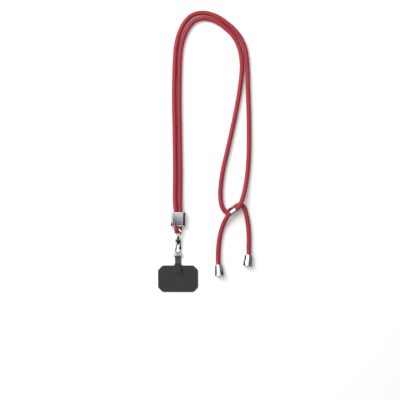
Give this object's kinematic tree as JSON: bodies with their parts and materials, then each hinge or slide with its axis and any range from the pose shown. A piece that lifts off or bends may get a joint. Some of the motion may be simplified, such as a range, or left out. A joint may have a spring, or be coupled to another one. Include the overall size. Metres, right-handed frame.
{
  "type": "lanyard",
  "caption": "Doubled round cord neck lanyard with clamp block, sliding band, end caps, swivel hook with sprung lever, D-ring and flat fabric tether patch.",
  "frame": {"origin": "centre of the patch's underside, on the table the lanyard lies on", "axes": "+Y from the patch up to the neck loop, +Z off the table, +X towards the tails and end caps"},
  "size_m": [0.1282, 0.3847, 0.0122],
  "materials": {
    "cord": "matt round braid",
    "chrome": "polished plate",
    "steel": "brushed",
    "webbing": "woven tape",
    "thread": "sewing thread",
    "patch": "fine weave, bonded"
  },
  "bodies": {
    "cord": {"cord_outer": "cord", "cord_inner": "cord", "cord_fold": "cord", "clamp_block": "steel", "clamp_screws": "steel", "end_cap_left": "chrome", "end_cap_right": "chrome"},
    "band": {"sliding_band": "chrome"},
    "eye": {"swivel_eye": "chrome", "swivel_washer": "steel"},
    "hook": {"hook_body": "chrome", "lever_pin": "steel", "lever_spring": "steel"},
    "lever": {"lever": "steel"},
    "ring": {"d_ring": "chrome"},
    "patch": {"tab_webbing": "webbing", "tab_stitching": "thread", "patch_back": "patch", "patch_front": "patch"}
  },
  "joints": [
    {"name": "band_slide", "type": "slide", "parent": "cord", "child": "band", "axis": [0.8192, 0.5736, 0], "range_m": [-0.0015, 0.0015]},
    {"name": "eye_swing", "type": "hinge", "parent": "cord", "child": "eye", "pos_m": [0, 0.0631, 0.0054], "axis": [-0.5, 0, 0.866], "range_deg": [-50, 50]},
    {"name": "hook_swivel", "type": "hinge", "parent": "eye", "child": "hook", "pos_m": [0, 0.055, 0.0054], "axis": [0, 1, 0], "continuous": true},
    {"name": "lever_press", "type": "hinge", "parent": "hook", "child": "lever", "pos_m": [0.00092, 0.0506, 0.00448], "axis": [-0.7071, 0, -0.7071], "range_deg": [0, 20], "stiffness_Nm_per_rad": 0.006, "springref_deg": -34.38},
    {"name": "ring_swing", "type": "hinge", "parent": "hook", "child": "ring", "pos_m": [0, 0.034, 0.0054], "axis": [0.7071, 0, -0.7071], "range_deg": [-10, 45]},
    {"name": "tab_fold", "type": "hinge", "parent": "ring", "child": "patch", "pos_m": [0, 0.0305, 0.0021], "axis": [1, 0, 0], "range_deg": [-90, 90]}
  ]
}
